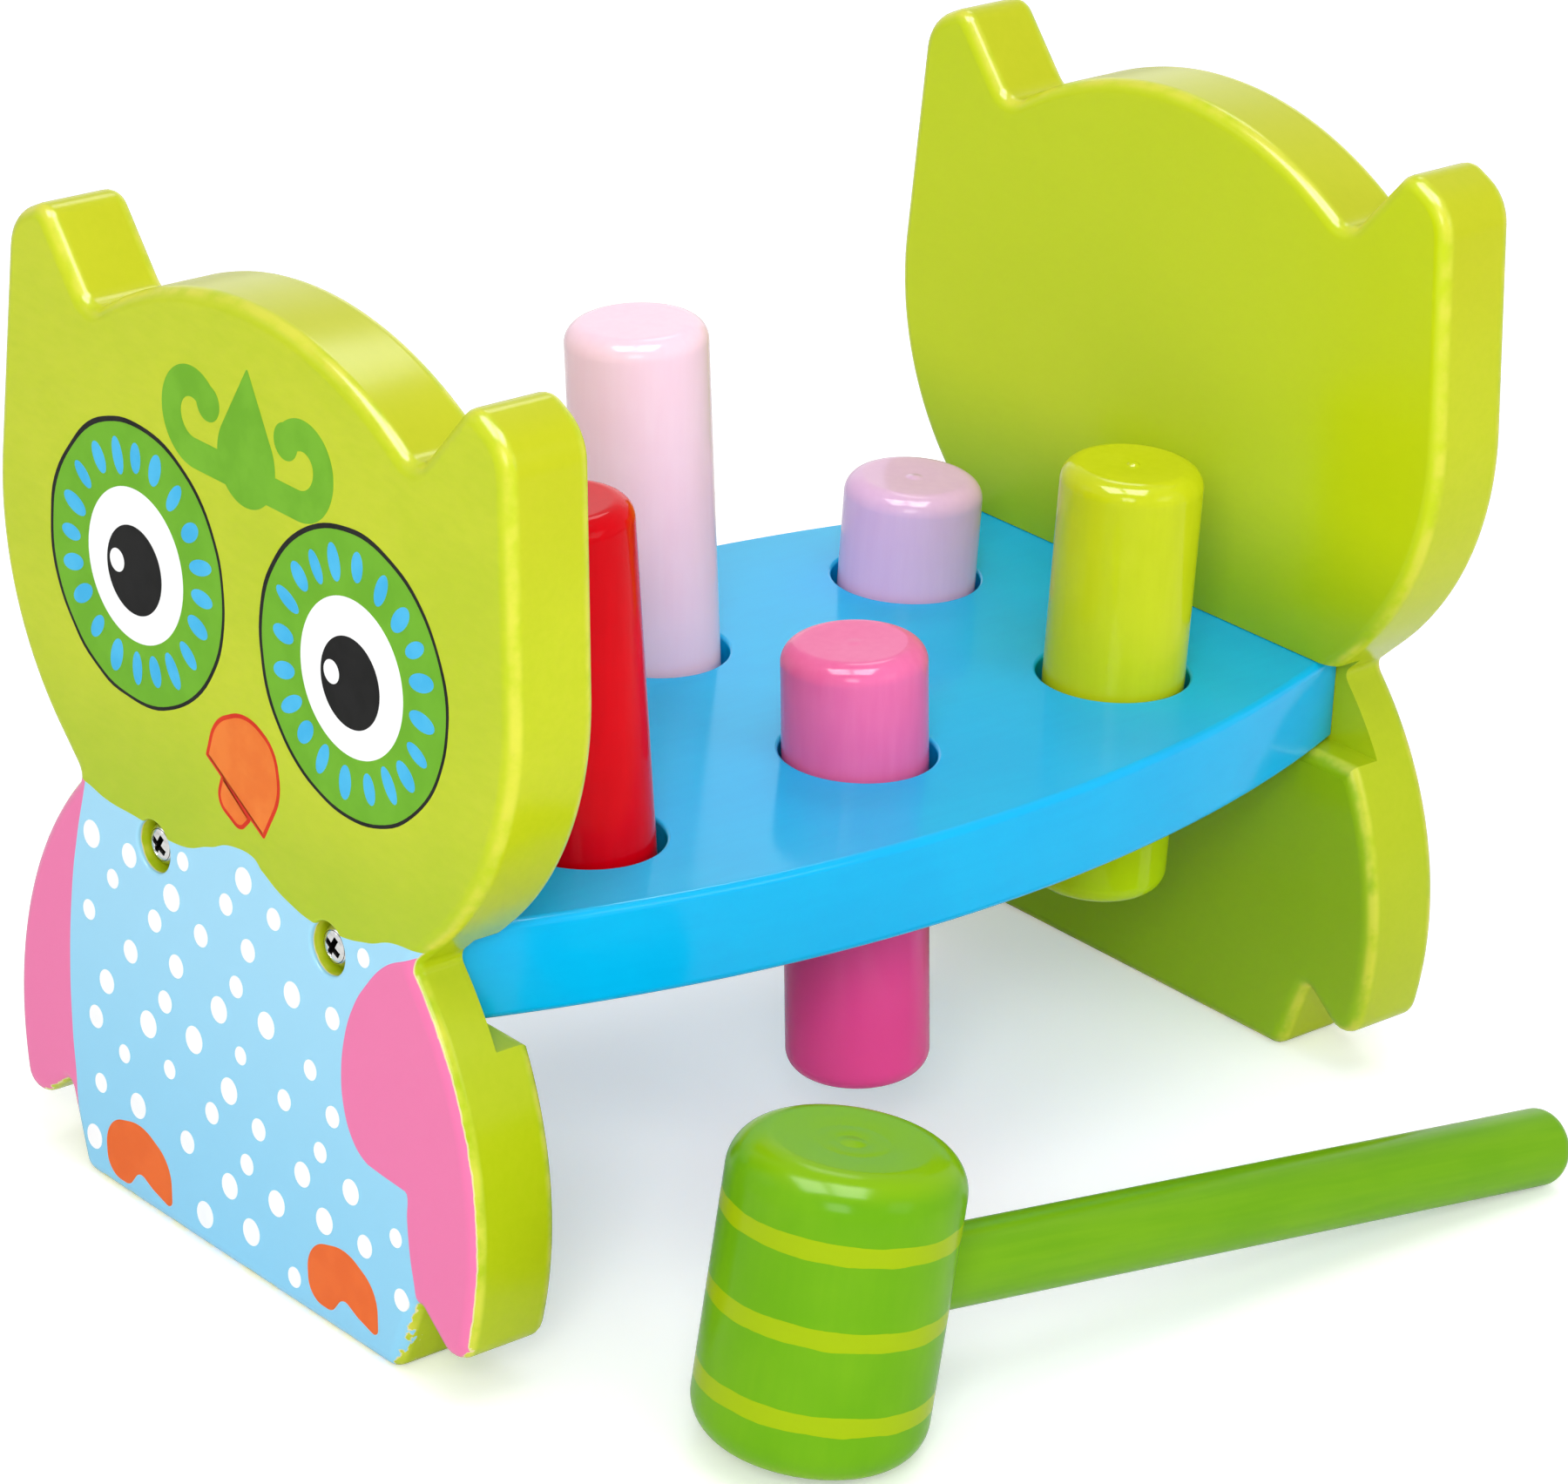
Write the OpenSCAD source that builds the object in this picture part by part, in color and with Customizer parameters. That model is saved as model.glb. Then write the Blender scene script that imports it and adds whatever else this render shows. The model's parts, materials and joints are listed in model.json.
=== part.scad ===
// Peg pounding bench: two owl-shaped end panels, a drilled plate housed between them,
// six pegs gripped by rubber rings, and a turned mallet lying beside the bench.
// Millimetres. +Z is up, the bench runs along Y and its face looks along -Y.
// The origin is the middle of the bench's footprint on the table.

/* [Bench] */
// Length over both end panels
bench_l = 218; // [180:1:260]
// Thickness of an end panel
panel_t = 17; // [12:0.5:20]
// Roundover of a panel's edges
panel_edge_r = 2.6; // [1.5:0.1:3.5]

/* [Owl outline] */
// Width across the base at the table
base_w = 87; // [70:1:100]
// Width between the two foot notches
notch_w = 97.6; // [85:0.2:110]
// Height of the foot notches
notch_h = 14.8; // [8:0.2:20]
// Radius at the top of a foot notch
notch_r = 1; // [0.5:0.1:2]
// Width between the corners that round into the wing tips
wing_tip_w = 121; // [112:0.5:130]
// Height of those corners
wing_tip_h = 5.6; // [3:0.2:9]
// Radius of a wing tip
wing_tip_r = 4.2; // [3:0.1:6]
// Width between the corners that round into the wings
wing_w = 138; // [128:0.5:150]
// Height of those corners
wing_h = 46; // [36:0.5:56]
// Radius of a wing's outer edge
wing_r = 66; // [40:1:80]
// Width at the neck
neck_w = 90.4; // [80:0.2:100]
// Height of the neck
neck_h = 73; // [68:0.5:78]
// Radius at the neck
neck_r = 2; // [1:0.1:4]
// Width between the corners that round into the cheeks
cheek_w = 141.4; // [130:0.2:150]
// Height of those corners
cheek_h = 97.5; // [88:0.5:106]
// Radius of a cheek
cheek_r = 56; // [30:1:70]
// Width over the ears' outer corners
ear_w = 131; // [124:0.2:140]
// Height of the ears' outer corners
ear_h = 165.6; // [158:0.2:175]
// Radius of the ears' outer corners
ear_r = 9; // [4:0.5:12]
// Distance between the ear tips
tip_w = 111.8; // [106:0.2:122]
// Height of the ear tips
tip_h = 170.4; // [162:0.2:180]
// Distance between the notches beside the crown
crown_w = 85.8; // [76:0.2:98]
// Height of those notches
crown_notch_h = 155; // [146:0.2:160]
// Height of the crown between the ears
crown_h = 168.2; // [162:0.2:176]
// Radius of the small rounded corners
corner_r = 3.2; // [2:0.1:5]

/* [Plate] */
// Thickness of the plate
plate_t = 17; // [14:0.5:20]
// Height of the plate's underside above the table
plate_h = 59.5; // [52:0.5:64]
// Width of the plate at its middle
plate_w = 123; // [108:1:136]
// Width of the plate where it meets the panels
plate_end_w = 92; // [80:1:104]
// Roundover of the plate's long edges
plate_edge_r = 1.4; // [0.5:0.1:3]
// Depth of the groove in a panel that houses the plate
housing_depth = 7; // [4:0.5:9]
// Roundover of the groove's lower lip
lip_r = 2.4; // [1:0.1:3]

/* [Pegs] */
// Diameter of a peg
peg_d = 25; // [20:0.5:28]
// Length of a peg
peg_l = 79; // [60:1:90]
// Roundover of a peg's ends
peg_round = 3.6; // [1:0.1:6]
// Gap all round between a peg and its hole
peg_play = 1; // [0.6:0.1:1.5]
// Distance between the two columns of holes
col_pitch = 54.5; // [46:0.5:64]
// Distance from a panel's inner face to the middle of the nearest holes
hole_margin = 32.6; // [28:0.1:44]
// Plan direction in which loose pegs lean, in degrees from +X
lean_dir = 228; // [0:1:360]
// Height of the red peg above the plate
red_rise = 58.2; // [6:0.2:62]
// Height of the pink peg above the plate
pink_rise = 19.8; // [6:0.2:62]
// Height of the lime peg above the plate
lime_rise = 39; // [6:0.2:62]
// Height of the orange peg above the plate
orange_rise = 30; // [6:0.2:62]
// Height of the blush peg above the plate
blush_rise = 60.4; // [6:0.2:62]
// Height of the lilac peg above the plate
lilac_rise = 19.2; // [6:0.2:62]

/* [Friction rings] */
// Thickness of a ring's round section
ring_section = 3.2; // [2.4:0.1:4]
// Gap between a ring and the peg that leans the furthest
ring_gap = 0.06; // [0.02:0.01:0.1]

/* [Screws] */
// Distance between a panel's two screws
screw_pitch = 47.6; // [36:0.2:60]
// Diameter of a screw's shank
screw_d = 4; // [3:0.1:5]
// Length of a screw under its head
screw_l = 22; // [16:1:25]
// Diameter of a screw's head
screw_head_d = 8; // [6:0.1:9]
// Height of a screw's head
screw_head_h = 2.8; // [2:0.1:3.5]
// Width of the cross recess's slots
recess_w = 1.2; // [0.8:0.1:1.6]
// Length of the cross recess's slots
recess_l = 4.6; // [3:0.1:5.5]
// Depth of the cross recess
recess_depth = 1.6; // [1:0.1:2]
// Depth of the counterbore that takes the head
counterbore_depth = 4.6; // [3.4:0.1:5]

/* [Mallet] */
// Diameter of the mallet's head
head_d = 38.4; // [32:0.2:46]
// Length of the mallet's head
head_l = 52; // [42:0.5:64]
// Roundover of the head's rims
head_round = 6.8; // [3:0.2:10]
// Diameter of the handle
handle_d = 13.6; // [11:0.2:16]
// Length of the handle from the head's axis to its end
handle_reach = 164; // [130:1:200]
// Roundover of the handle's ends
handle_round = 3; // [1:0.2:5]
// Depth of the head's socket for the handle
socket_depth = 26; // [20:0.5:30]
// Distance of the head from the bench's middle plane
mallet_x = 101.3; // [96:0.1:140]
// Place of the head along the bench
mallet_y = -68; // [-90:0.5:-40]
// Plan direction of the handle, in degrees from +X
mallet_turn = 88; // [70:1:110]

/* [Clearances] */
// Gap at the end and over the top of the plate in its groove
housing_gap = 0.15; // [0.05:0.05:0.3]
// Gap round a screw's shank
screw_gap = 0.05; // [0.02:0.01:0.1]
// Gap round a screw's head in its counterbore
head_gap = 0.6; // [0.3:0.1:1]
// Gap round the handle in its socket, filled by glue
glue_gap = 0.08; // [0.02:0.02:0.2]
// Gap between a ring and its groove
groove_gap = 0.25; // [0.1:0.05:0.4]

/* [Hidden] */
$fn = 96;
// Length of a straight step along a panel's round stretches
outline_step = 3.5;
// Fewest steps on a rounded corner
corner_steps = 4;
// Steps over a panel's rounded edge
edge_steps = 3;
// How far a convex corner's radius stays above the edge roundover
corner_margin = 0.3;
// Overshoot of a cut past the face that it opens
cut_over = 1;
// Small step at the foot of the groove's rounded lip
lip_step = 0.12;

plate_mid = plate_h + plate_t / 2;
clear_l = bench_l - 2 * panel_t;
row_pitch = clear_l / 2 - hole_margin;
plate_l = clear_l + 2 * (housing_depth - housing_gap);
plate_sag = (plate_w - plate_end_w) / 2;
plate_r = (pow(clear_l / 2, 2) + pow(plate_sag, 2)) / (2 * plate_sag);

peg_r = peg_d / 2;
hole_r = peg_r + peg_play;
// Lean of a peg that touches both rims of its hole
full_lean = atan(2 * peg_play / plate_t);
ring_bore_r = peg_r / cos(full_lean) + ring_gap;
ring_centre_r = ring_bore_r + ring_section / 2;
ring_groove_r = ring_bore_r + ring_section + groove_gap;

// Least radius of a convex corner that the edge roundover can follow
least_r = panel_edge_r + corner_margin;
// Diameter of a screw's blunt point
screw_point_d = 0.4;

// Each peg: column, row, height above the plate and lean as a share of the full lean
red = [1, -1, red_rise, 0.8];
pink = [1, 0, pink_rise, 0.48];
lime = [1, 1, lime_rise, -0.18];
orange = [-1, -1, orange_rise, 0];
blush = [-1, 0, blush_rise, 0.62];
lilac = [-1, 1, lilac_rise, -0.2];
pegs = [red, pink, lime, orange, blush, lilac];

panel_green = [0.78, 0.83, 0.2];
plate_blue = [0.16, 0.71, 0.92];
ring_black = [0.1, 0.1, 0.1];
screw_steel = [0.75, 0.76, 0.78];
mallet_green = [0.45, 0.7, 0.14];

// The crown is one arc between the notches: its slope at a notch and its radius
crown_slope = 2 * atan((crown_h - crown_notch_h) / (crown_w / 2));
crown_r = crown_w / 2 / sin(crown_slope);
// Corners of the outline's right half, from the table up to the crown: x, z and radius
crown_corner_h = crown_h + crown_r * (1 / cos(crown_slope) - 1);
half_corners = [
    [base_w / 2, 0, max(corner_r, least_r)],
    [notch_w / 2, notch_h, notch_r],
    [wing_tip_w / 2, wing_tip_h, max(wing_tip_r, least_r)],
    [wing_w / 2, wing_h, wing_r],
    [neck_w / 2, neck_h, neck_r],
    [cheek_w / 2, cheek_h, cheek_r],
    [ear_w / 2, ear_h, ear_r],
    [tip_w / 2, tip_h, max(corner_r, least_r)],
    [crown_w / 2, crown_notch_h, corner_r]
];
crown_corner = [0, crown_corner_h, crown_r];
mirrored_corners = [
    for (i = [len(half_corners) - 1 : -1 : 0])
        [-half_corners[i][0], half_corners[i][1], half_corners[i][2]]
];
corners = concat(half_corners, [crown_corner], mirrored_corners);
corner_n = len(corners);

function spot(i) = [corners[(i + corner_n) % corner_n][0], corners[(i + corner_n) % corner_n][1]];
function unit(v) = v / norm(v);
function half_angle(i) = acos(unit(spot(i - 1) - spot(i)) * unit(spot(i + 1) - spot(i))) / 2;
// Length of edge that corner i's fillet would take, and what its two edges leave for it
function wanted_reach(i) = corners[(i + corner_n) % corner_n][2] / tan(half_angle(i));
function edge_share(i, j) = norm(spot(i) - spot(j)) / (wanted_reach(i) + wanted_reach(j));
function reach(i) = wanted_reach(i) * min(1, edge_share(i, i - 1), edge_share(i, i + 1));
function turn(i) = cross(spot(i) - spot(i - 1), spot(i + 1) - spot(i));

// The arc at corner i, with the whole outline moved inwards by inset
function corner_arc(i, inset) =
    let (
        radius = reach(i) * tan(half_angle(i)),
        side = sign(turn(i)),
        to_last = unit(spot(i - 1) - spot(i)),
        to_next = unit(spot(i + 1) - spot(i)),
        centre = spot(i) + unit(to_last + to_next) * radius / sin(half_angle(i)),
        from = spot(i) + to_last * reach(i) - centre,
        first = atan2(from[1], from[0]),
        sweep = side * (180 - 2 * half_angle(i)),
        steps = max(corner_steps, ceil(radius * abs(sweep) * PI / 180 / outline_step))
    )
    [
        for (k = [0 : steps])
            centre + (radius - side * inset) * [cos(first + sweep * k / steps), sin(first + sweep * k / steps)]
    ];

function outline(inset) = [for (i = [0 : corner_n - 1]) each corner_arc(i, inset)];

// Owl-shaped board with all its edges rounded over, its outer face at y = 0.
// The lofted edge runs on past both faces, where the board is cut flat.
module owl_board() {
    low_rings = [
        for (k = [0 : edge_steps])
            let (angle = 90 * k / edge_steps)
            [panel_edge_r * (1 - sin(angle)), panel_edge_r * (1 - cos(angle))]
    ];
    high_rings = [for (k = [edge_steps : -1 : 0]) [low_rings[k][0], panel_t - low_rings[k][1]]];
    first_ring = [panel_edge_r, -cut_over];
    last_ring = [panel_edge_r, panel_t + cut_over];
    rings = concat([first_ring], low_rings, high_rings, [last_ring]);
    n = len(outline(0));
    points = [for (ring = rings) each [for (spot = outline(ring[0])) [spot[0], ring[1], spot[1]]]];
    sides = [
        for (k = [0 : len(rings) - 2], i = [0 : n - 1])
            each [
                [k * n + i, (k + 1) * n + i, (k + 1) * n + (i + 1) % n],
                [k * n + i, (k + 1) * n + (i + 1) % n, k * n + (i + 1) % n]
            ]
    ];
    low_cap = [for (i = [0 : n - 1]) i];
    high_cap = [for (i = [n - 1 : -1 : 0]) (len(rings) - 1) * n + i];
    intersection() {
        polyhedron(points, concat([low_cap], sides, [high_cap]));
        translate([-cheek_w, 0, -cut_over])
            cube([2 * cheek_w, panel_t, 2 * tip_h]);
    }
}

// Groove across a panel's inner face that houses the plate, with its lower lip rounded over
module housing_groove() {
    groove_l = 2 * max(wing_w, cheek_w);
    translate([-groove_l / 2, panel_t, plate_h])
        rotate([90, 0, 90])
            linear_extrude(groove_l) {
                translate([-housing_depth, 0])
                    square([housing_depth + cut_over, plate_t + housing_gap]);
                difference() {
                    translate([-lip_r - lip_step, -lip_r])
                        square([lip_r + lip_step + cut_over, lip_r + cut_over]);
                    translate([-lip_r - lip_step, -lip_r])
                        circle(lip_r);
                }
            }
}

// Through hole and counterbore of one screw, along +Y from a panel's outer face
module screw_hole() {
    rotate([-90, 0, 0]) {
        translate([0, 0, -cut_over])
            cylinder(h = panel_t + cut_over, d = screw_d + 2 * screw_gap);
        translate([0, 0, -cut_over])
            cylinder(h = counterbore_depth + cut_over, d = screw_head_d + 2 * head_gap);
    }
}

// One end panel in place at the front, its painted face towards -Y
module panel() {
    translate([0, -bench_l / 2, 0])
        difference() {
            owl_board();
            housing_groove();
            for (side = [-1, 1])
                translate([side * screw_pitch / 2, 0, plate_mid])
                    screw_hole();
        }
}

module front_panel() {
    color(panel_green)
        panel();
}

module rear_panel() {
    color(panel_green)
        mirror([0, 1, 0])
            panel();
}

// Wide disc with rounded rims, of which the plate's barrel sides are stretches
module rim_disc() {
    rotate_extrude($fn = 360) {
        square([plate_r, plate_t - 2 * plate_edge_r]);
        translate([0, -plate_edge_r])
            square([plate_r - plate_edge_r, plate_t]);
        translate([plate_r - plate_edge_r, 0])
            circle(plate_edge_r);
        translate([plate_r - plate_edge_r, plate_t - 2 * plate_edge_r])
            circle(plate_edge_r);
    }
}

// The disc whose rim is the plate's left or right side
module barrel_side(side) {
    translate([side * (plate_w / 2 - plate_r), 0, plate_h + plate_edge_r])
        rim_disc();
}

// Place of a peg's hole, at the middle of the plate's thickness
module at_hole(peg) {
    translate([peg[0] * col_pitch / 2, peg[1] * row_pitch, plate_mid])
        children();
}

// A hole for one peg, with the groove that keeps its ring
module peg_hole() {
    cylinder(h = plate_t + 2 * cut_over, r = hole_r, center = true);
    cylinder(h = ring_section + 2 * groove_gap, r = ring_groove_r, center = true);
}

module bench_plate() {
    color(plate_blue)
        difference() {
            intersection() {
                barrel_side(-1);
                barrel_side(1);
                translate([-plate_w, -plate_l / 2, plate_h - cut_over])
                    cube([2 * plate_w, plate_l, plate_t + 2 * cut_over]);
            }
            for (peg = pegs)
                at_hole(peg)
                    peg_hole();
            for (side = [-1, 1], end = [0, 180])
                rotate([0, 0, end])
                    translate([side * screw_pitch / 2, -bench_l / 2 + counterbore_depth, plate_mid])
                        rotate([-90, 0, 0])
                            cylinder(h = screw_l + cut_over, d = screw_d + 2 * screw_gap);
        }
}

// Turned piece with both rims rounded over, standing on z = 0
module turned(diameter, length, rim_r) {
    rotate_extrude() {
        square([diameter / 2 - rim_r, length]);
        translate([0, rim_r])
            square([diameter / 2, length - 2 * rim_r]);
        for (z = [rim_r, length - rim_r])
            intersection() {
                translate([diameter / 2 - rim_r, z])
                    circle(rim_r);
                square([diameter, length]);
            }
    }
}

// A peg in its hole, leaning about the middle of the plate
module peg(peg, tint) {
    color(tint)
        at_hole(peg)
            rotate(full_lean * peg[3], [-sin(lean_dir), cos(lean_dir), 0])
                translate([0, 0, plate_t / 2 + peg[2] - peg_l])
                    turned(peg_d, peg_l, peg_round);
}

module red_peg() peg(red, [0.88, 0.02, 0.1]);
module pink_peg() peg(pink, [0.9, 0.35, 0.58]);
module lime_peg() peg(lime, [0.73, 0.8, 0.12]);
module orange_peg() peg(orange, [0.95, 0.5, 0.12]);
module blush_peg() peg(blush, [0.98, 0.84, 0.9]);
module lilac_peg() peg(lilac, [0.75, 0.65, 0.8]);

// Rubber ring in the groove of one hole
module friction_ring(peg) {
    color(ring_black)
        at_hole(peg)
            rotate_extrude()
                translate([ring_centre_r, 0])
                    circle(d = ring_section);
}

module red_ring() friction_ring(red);
module pink_ring() friction_ring(pink);
module lime_ring() friction_ring(lime);
module orange_ring() friction_ring(orange);
module blush_ring() friction_ring(blush);
module lilac_ring() friction_ring(lilac);

// Pan-head screw along +Z, its head's seat at z = 0
module screw() {
    tip_l = screw_d;
    crown_z = screw_head_h / 2;
    color(screw_steel)
        difference() {
            union() {
                cylinder(h = screw_l - tip_l, d = screw_d);
                translate([0, 0, screw_l - tip_l])
                    cylinder(h = tip_l, d1 = screw_d, d2 = screw_point_d);
                rotate_extrude()
                    translate([0, -crown_z]) {
                        square([screw_head_d / 2, crown_z]);
                        translate([0, -crown_z])
                            square([screw_head_d / 2 - crown_z, 2 * crown_z]);
                        intersection() {
                            translate([screw_head_d / 2 - crown_z, 0])
                                circle(crown_z);
                            translate([0, -crown_z])
                                square([screw_head_d, 2 * crown_z]);
                        }
                    }
            }
            for (angle = [0, 90])
                rotate([0, 0, angle])
                    translate([-recess_l / 2, -recess_w / 2, -screw_head_h - cut_over])
                        cube([recess_l, recess_w, recess_depth + cut_over]);
        }
}

// A screw in place: side -1 or 1 across the bench, turned half round for the rear panel
module placed_screw(side, end) {
    rotate([0, 0, end])
        translate([side * screw_pitch / 2, -bench_l / 2 + counterbore_depth, plate_mid])
            rotate([-90, 0, 0])
                screw();
}

module front_left_screw() placed_screw(-1, 0);
module front_right_screw() placed_screw(1, 0);
module rear_left_screw() placed_screw(1, 180);
module rear_right_screw() placed_screw(-1, 180);

// The mallet lies on its head's lower rim and its handle's end: tilt and height of the head's middle
mallet_a = handle_reach - handle_round - head_d / 2 + head_round;
mallet_b = head_l / 2 - head_round - handle_d / 2 + handle_round;
mallet_tilt = atan2(mallet_b, mallet_a)
    + asin((head_round - handle_round) / norm([mallet_a, mallet_b]));
mallet_h = (head_d / 2 - head_round) * sin(mallet_tilt)
    + (head_l / 2 - head_round) * cos(mallet_tilt) + head_round;

// The mallet's own axes: the head along z, the handle along +x, the origin at the head's middle
module at_mallet() {
    translate([mallet_x, mallet_y, mallet_h])
        rotate([0, mallet_tilt, mallet_turn])
            children();
}

module mallet_head() {
    color(mallet_green)
        at_mallet()
            difference() {
                translate([0, 0, -head_l / 2])
                    turned(head_d, head_l, head_round);
                translate([head_d / 2 - socket_depth, 0, 0])
                    rotate([0, 90, 0])
                        cylinder(h = socket_depth + cut_over, d = handle_d + 2 * glue_gap);
            }
}

module mallet_handle() {
    foot_x = head_d / 2 - socket_depth + glue_gap;
    color(mallet_green)
        at_mallet()
            translate([foot_x, 0, 0])
                rotate([0, 90, 0])
                    turned(handle_d, handle_reach - foot_x, handle_round);
}

front_panel();
rear_panel();
bench_plate();
red_peg();
pink_peg();
lime_peg();
orange_peg();
blush_peg();
lilac_peg();
red_ring();
pink_ring();
lime_ring();
orange_ring();
blush_ring();
lilac_ring();
front_left_screw();
front_right_screw();
rear_left_screw();
rear_right_screw();
mallet_head();
mallet_handle();
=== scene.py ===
import json
from math import acos, asin, atan, atan2, ceil, cos, hypot, pi, radians, sin, tan

import bmesh
import bpy
from mathutils import Euler, Matrix, Vector

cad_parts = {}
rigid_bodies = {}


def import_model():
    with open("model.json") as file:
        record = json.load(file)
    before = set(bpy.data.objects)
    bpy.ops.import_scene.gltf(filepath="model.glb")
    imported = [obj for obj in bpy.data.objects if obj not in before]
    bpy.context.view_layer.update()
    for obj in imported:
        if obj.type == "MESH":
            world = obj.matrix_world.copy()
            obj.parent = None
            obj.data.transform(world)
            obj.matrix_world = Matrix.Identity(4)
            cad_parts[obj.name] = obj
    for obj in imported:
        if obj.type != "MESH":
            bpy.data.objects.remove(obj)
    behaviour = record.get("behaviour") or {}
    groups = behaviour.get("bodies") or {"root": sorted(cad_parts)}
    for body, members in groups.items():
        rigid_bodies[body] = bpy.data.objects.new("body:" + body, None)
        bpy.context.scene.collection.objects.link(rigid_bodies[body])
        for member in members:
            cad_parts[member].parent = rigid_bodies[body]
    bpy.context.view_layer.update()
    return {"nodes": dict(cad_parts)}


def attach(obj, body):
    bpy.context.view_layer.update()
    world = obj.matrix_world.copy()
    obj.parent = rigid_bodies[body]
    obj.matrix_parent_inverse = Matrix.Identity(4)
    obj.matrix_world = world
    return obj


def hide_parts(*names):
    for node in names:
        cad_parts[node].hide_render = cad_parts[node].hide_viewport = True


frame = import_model()
mm = 0.001
tiny = 0.001 * mm  # shorter moves and smaller distances count as none
weld = 0.002 * mm  # points closer than this become one
overCut = 1.0  # mm by which a cutter stands out of its piece
scene = bpy.context.scene
scene.view_settings.view_transform = "Standard"


# Modelling helpers

def tidySelection():
    if bpy.context.mode != "OBJECT":
        bpy.ops.object.mode_set(mode="OBJECT")
    bpy.ops.object.select_all(action="DESELECT")


def makeActive(piece):
    tidySelection()
    piece.select_set(True)
    bpy.context.view_layer.objects.active = piece


def startPiece(name):  # an empty mesh in edit mode, its object at the origin
    tidySelection()
    bpy.ops.mesh.primitive_plane_add(size=mm)
    piece = bpy.context.object
    piece.name = piece.data.name = name
    bpy.ops.object.mode_set(mode="EDIT")
    bpy.ops.mesh.select_mode(type="VERT")
    bpy.ops.mesh.delete(type="VERT")
    return piece


def pick(kind, wanted):  # selects edges or faces by a rule
    bpy.ops.mesh.select_mode(type=kind)
    bpy.ops.mesh.select_all(action="DESELECT")
    data = bpy.context.object.data
    mesh = bmesh.from_edit_mesh(data)
    for part in {"EDGE": mesh.edges, "FACE": mesh.faces}[kind]:
        if wanted(part):
            part.select = True
    mesh.select_flush_mode()
    bmesh.update_edit_mesh(data)


def faceOutwards():
    bpy.ops.mesh.select_all(action="SELECT")
    bpy.ops.mesh.normals_make_consistent(inside=False)


def thicken(move):  # extrudes all that is drawn, by a move in mm
    bpy.ops.mesh.select_all(action="SELECT")
    bpy.ops.mesh.extrude_region_move(TRANSFORM_OT_translate={"value": Vector(move) * mm})
    faceOutwards()


def spinAround(steps, centre=(0, 0, 0), axis=(0, 0, 1)):  # makes a drawn half section round
    bpy.ops.mesh.select_all(action="SELECT")
    bpy.ops.mesh.spin(steps=steps, angle=2 * pi, center=Vector(centre) * mm, axis=axis)
    bpy.ops.mesh.select_all(action="SELECT")
    bpy.ops.mesh.remove_doubles(threshold=weld)
    faceOutwards()


def liesIn(edge, axis, levels):  # whether an edge lies in one of the planes, given in mm
    return any(all(abs(vert.co[axis] - level * mm) < tiny for vert in edge.verts) for level in levels)


def easeEdges(size, steps, wanted):
    pick("EDGE", wanted)
    bpy.ops.mesh.bevel(offset=size * mm, segments=steps, profile=0.5, affect="EDGES",
                       clamp_overlap=False)


def useModifier(piece, kind, **settings):
    makeActive(piece)
    bpy.ops.object.modifier_add(type=kind)
    modifier = piece.modifiers[-1]
    for key, value in settings.items():
        setattr(modifier, key, value)
    bpy.ops.object.modifier_apply(modifier=modifier.name)


def cutAway(piece, cutter):
    useModifier(piece, "BOOLEAN", operation="DIFFERENCE", solver="EXACT", object=cutter)
    bpy.data.objects.remove(cutter)


def smoothOff(piece, angle=35):
    makeActive(piece)
    bpy.ops.object.shade_smooth_by_angle(angle=radians(angle))
    useModifier(piece, "WEIGHTED_NORMAL", keep_sharp=True)


def setPlace(piece, matrix):  # moves a finished piece and leaves its object at the origin
    makeActive(piece)
    piece.matrix_world = matrix
    bpy.ops.object.transform_apply(location=True, rotation=True, scale=True)


def copyPiece(piece, name, matrix):
    makeActive(piece)
    bpy.ops.object.duplicate(linked=False)
    twin = bpy.context.object
    twin.name = twin.data.name = name
    setPlace(twin, matrix)
    return twin


def cover(piece, material):
    piece.data.materials.clear()
    piece.data.materials.append(material)


def dress(piece, material, body, slot, *nodes):
    cover(piece, material)
    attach(piece, body)
    if nodes:
        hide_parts(*nodes)


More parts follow.
